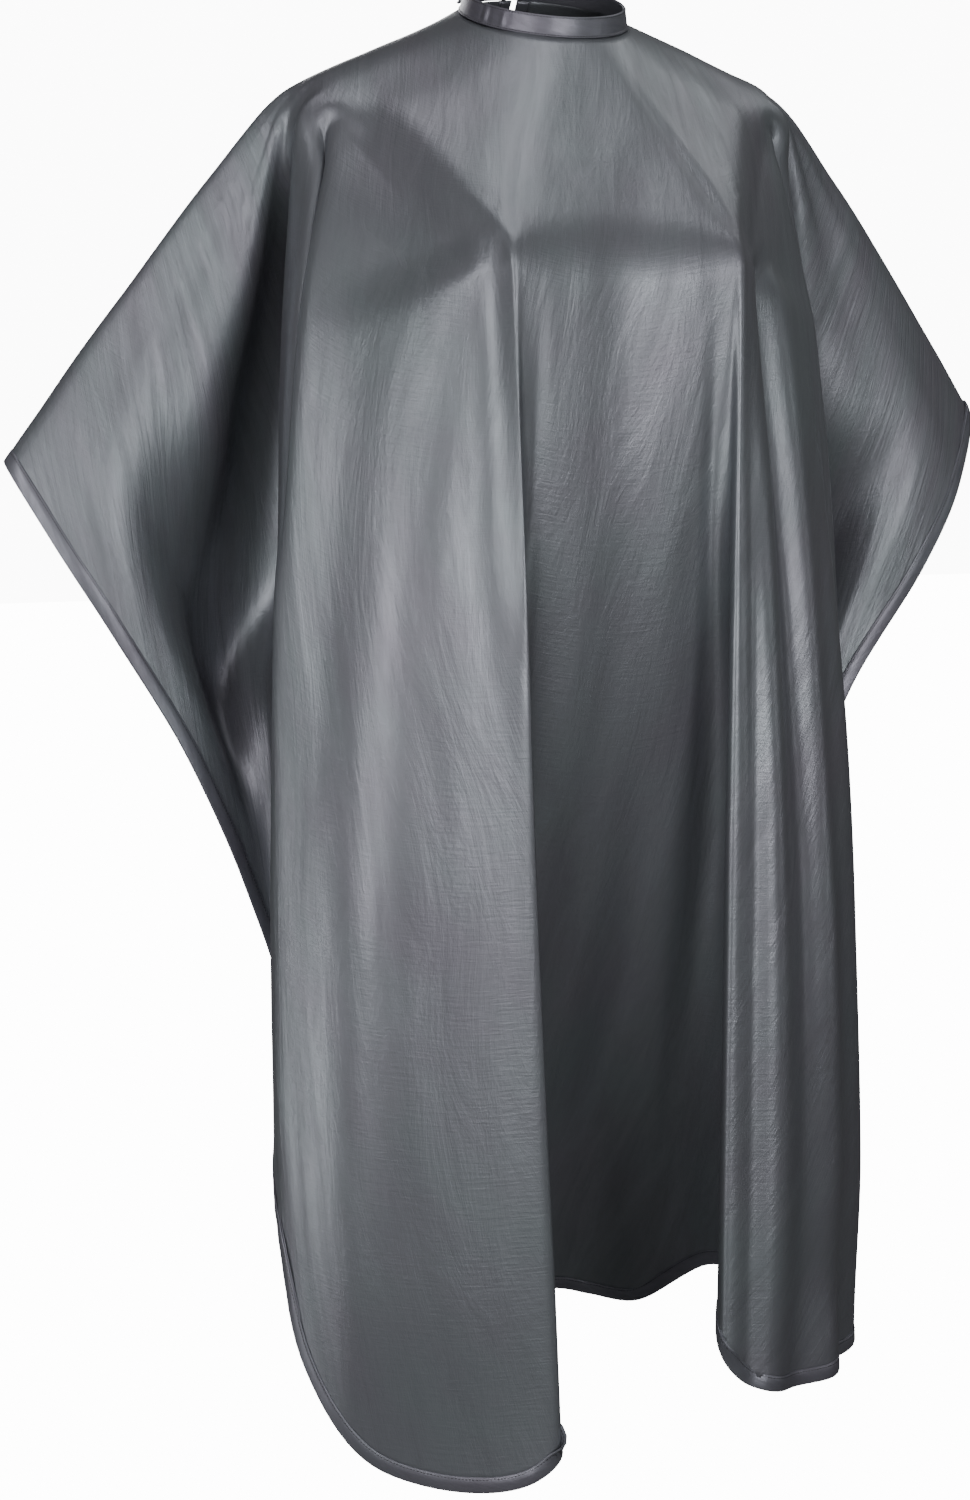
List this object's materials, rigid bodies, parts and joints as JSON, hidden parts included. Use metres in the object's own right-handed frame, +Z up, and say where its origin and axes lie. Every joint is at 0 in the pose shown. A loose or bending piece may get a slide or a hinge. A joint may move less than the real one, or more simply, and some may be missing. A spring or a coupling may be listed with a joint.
{
  "type": "barber cape",
  "caption": "Salon cape of coated taffeta in its worn shape, with a bound edge and a neckband that closes at the nape with press studs.",
  "frame": {"origin": "centre of the neck seam circle, where the cape sits on the wearer's neck", "axes": "+Z up the wearer, -Y the way the wearer faces, +X to the wearer's left"},
  "size_m": [0.8462, 0.4041, 1.1416],
  "materials": {
    "taffeta": "grey coated polyester taffeta with a soft satin sheen",
    "satin_binding": "darker grey satin bias tape with a lengthwise sheen",
    "interfacing": "white non-woven stiffener",
    "nickel_snap": "bright nickel plate"
  },
  "bodies": {
    "cape": {"cape_panel": "taffeta", "hem_binding": "satin_binding", "slit_binding_right": "satin_binding", "slit_binding_left": "satin_binding", "neckband_shell": "satin_binding", "neckband_stay": "interfacing", "neckband_lining": "satin_binding", "snap_socket_1": "nickel_snap", "snap_socket_2": "nickel_snap", "snap_socket_3": "nickel_snap", "snap_socket_4": "nickel_snap", "snap_socket_5": "nickel_snap", "snap_post_1": "nickel_snap", "snap_post_2": "nickel_snap", "snap_post_3": "nickel_snap", "snap_post_4": "nickel_snap", "snap_post_5": "nickel_snap"},
    "closure_tab": {"closure_tab_shell": "satin_binding", "closure_tab_stay": "interfacing", "closure_tab_lining": "satin_binding", "snap_stud_1": "nickel_snap", "snap_stud_2": "nickel_snap", "snap_cap_1": "nickel_snap", "snap_cap_2": "nickel_snap"}
  },
  "joints": [
    {"name": "closure_joint", "type": "hinge", "parent": "cape", "child": "closure_tab", "pos_m": [0.00445, 0.06063, 0.02771], "axis": [0.0151, 0.4995, -0.8662], "range_deg": [0, 110]}
  ]
}
